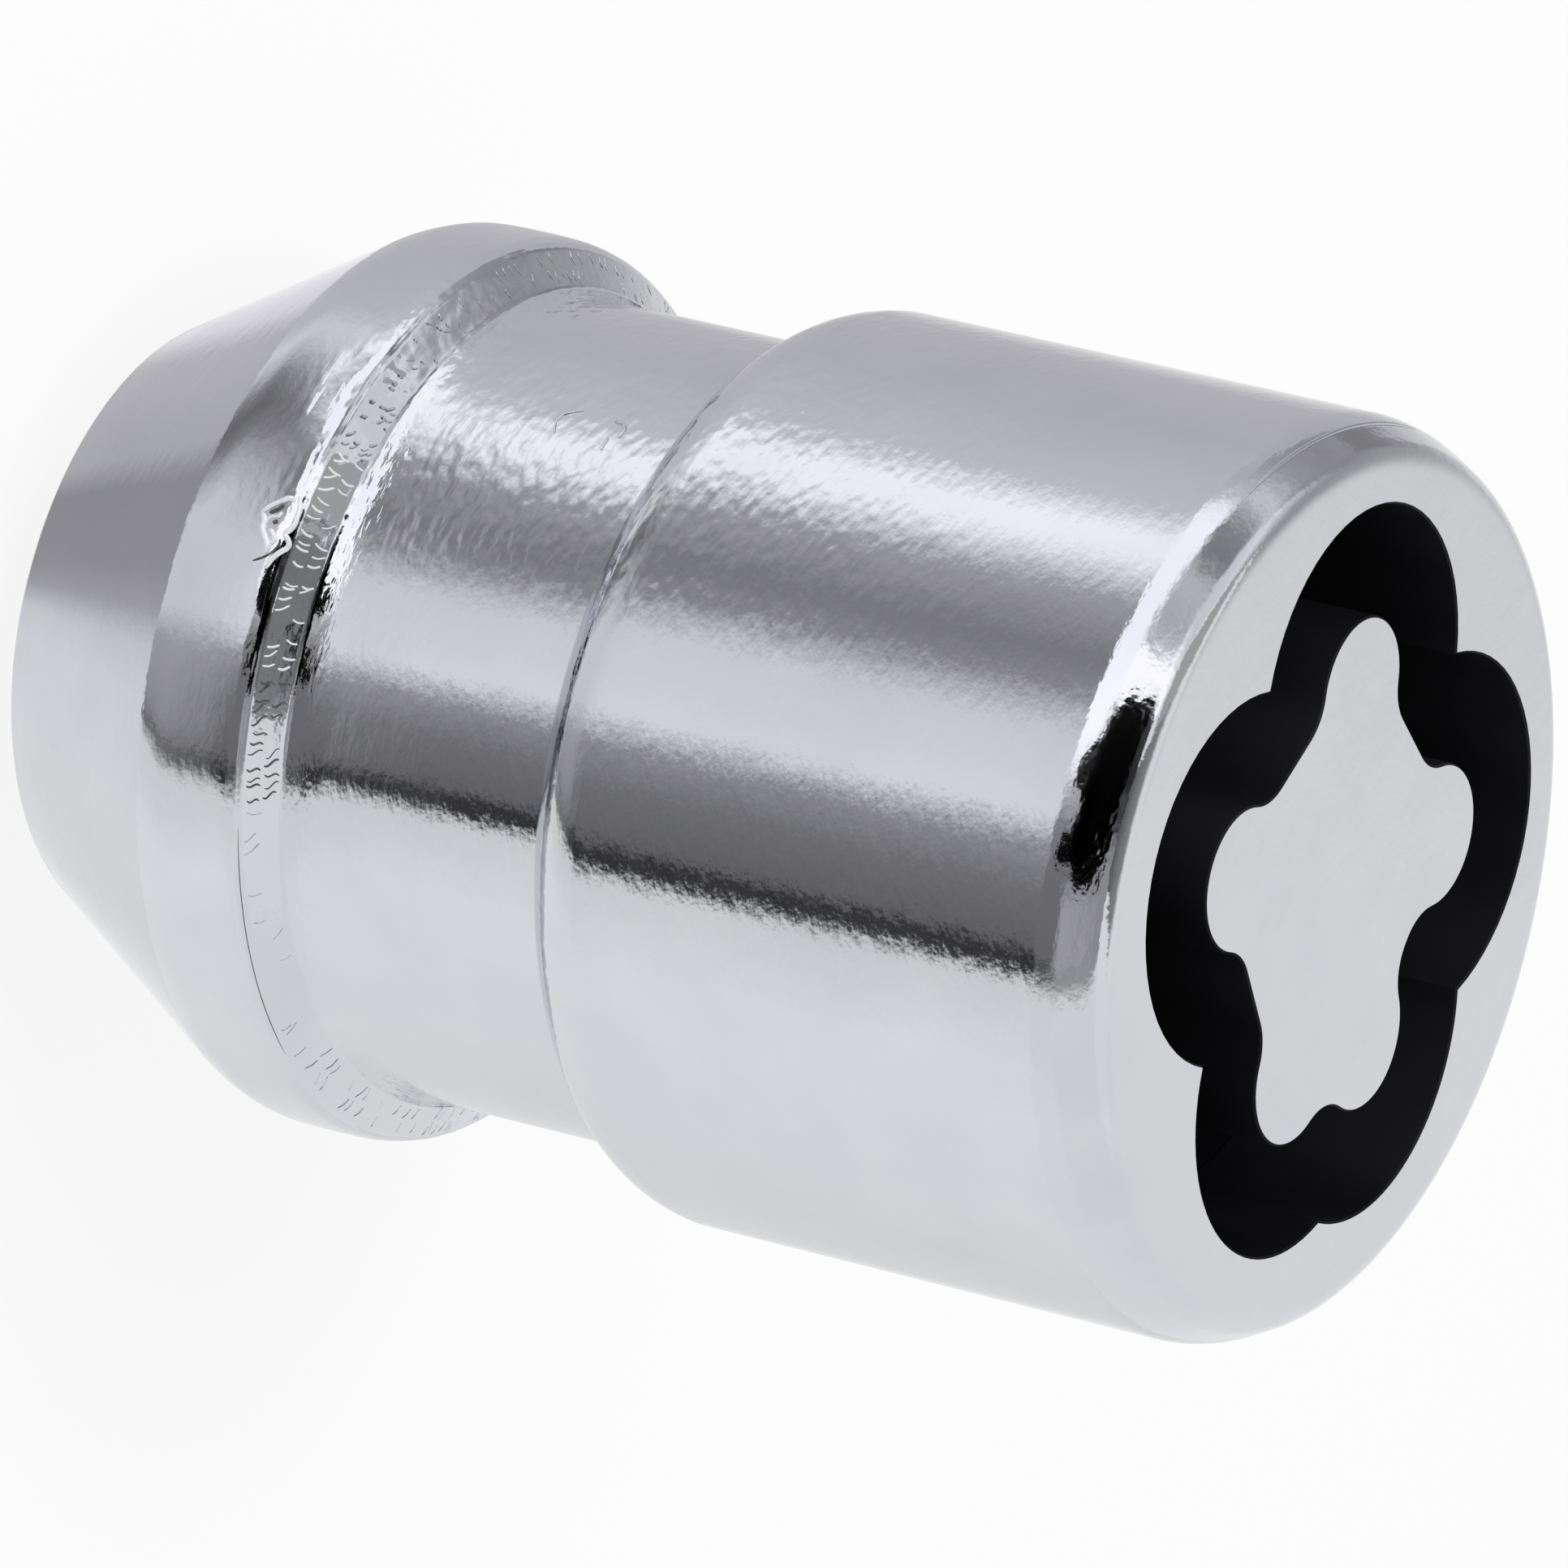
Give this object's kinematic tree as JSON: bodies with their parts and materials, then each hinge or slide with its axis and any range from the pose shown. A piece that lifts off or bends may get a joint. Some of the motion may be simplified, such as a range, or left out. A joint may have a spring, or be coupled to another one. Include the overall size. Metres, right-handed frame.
{
  "type": "locking wheel nut",
  "caption": "Closed-end chrome-plated wheel nut with a conical seat, waisted neck and a lobed key groove in its end face, turned only by its matching key.",
  "frame": {"origin": "centre of the open end, on the flat ring that the nut stands on", "axes": "+Z along the thread axis from the open end to the key face; -Y is the side that the picture shows"},
  "size_m": [0.022, 0.022, 0.032],
  "materials": {
    "chrome_plate": "bright decorative plating over turned steel, slightly orange-peeled, blackened inside the key groove"
  },
  "bodies": {
    "root": {"nut_body": "chrome_plate"}
  },
  "joints": []
}
